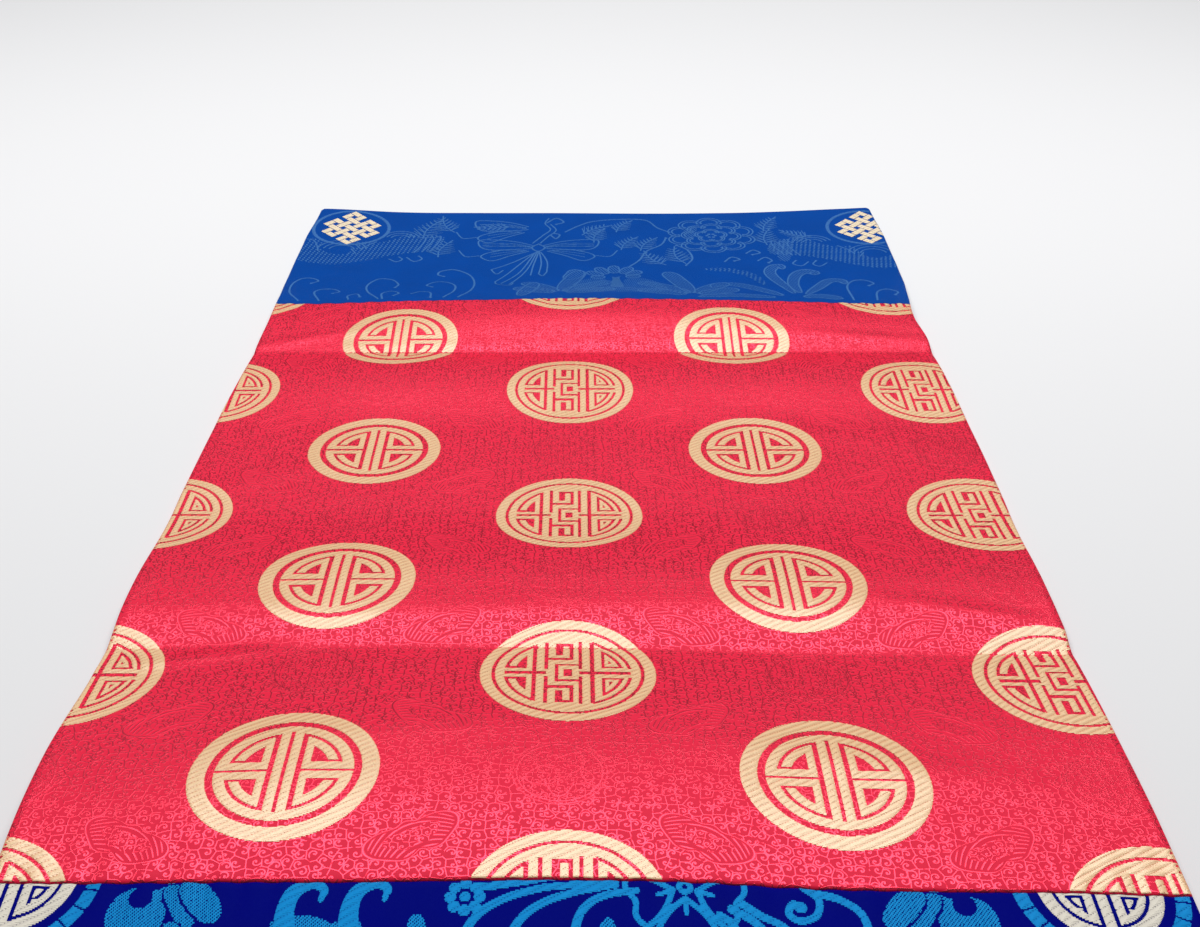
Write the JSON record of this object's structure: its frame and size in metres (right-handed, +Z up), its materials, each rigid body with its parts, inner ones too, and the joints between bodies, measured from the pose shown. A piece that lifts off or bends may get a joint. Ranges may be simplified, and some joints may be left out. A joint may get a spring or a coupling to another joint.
{
  "type": "brocade panel",
  "caption": "Long figured cloth lying face up: a red brocade centre panel with woven roundels and a blue brocade band sewn across each end.",
  "frame": {"origin": "middle of the cloth's underside, on the surface it lies on", "axes": "+X across the cloth to the right, +Y along its length towards the far band, +Z up"},
  "size_m": [0.309, 0.6226, 0.012],
  "materials": {
    "red_brocade": "red satin damask ground with raised pale gold weft motifs, soft sheen",
    "royal_blue_brocade": "royal blue satin with fine tone-on-tone lines and pale gold knots",
    "navy_blue_brocade": "navy satin with bright azure woven figures and ivory roundels"
  },
  "bodies": {
    "root": {"centre_panel": "red_brocade", "far_band": "royal_blue_brocade", "near_band": "navy_blue_brocade"}
  },
  "joints": []
}
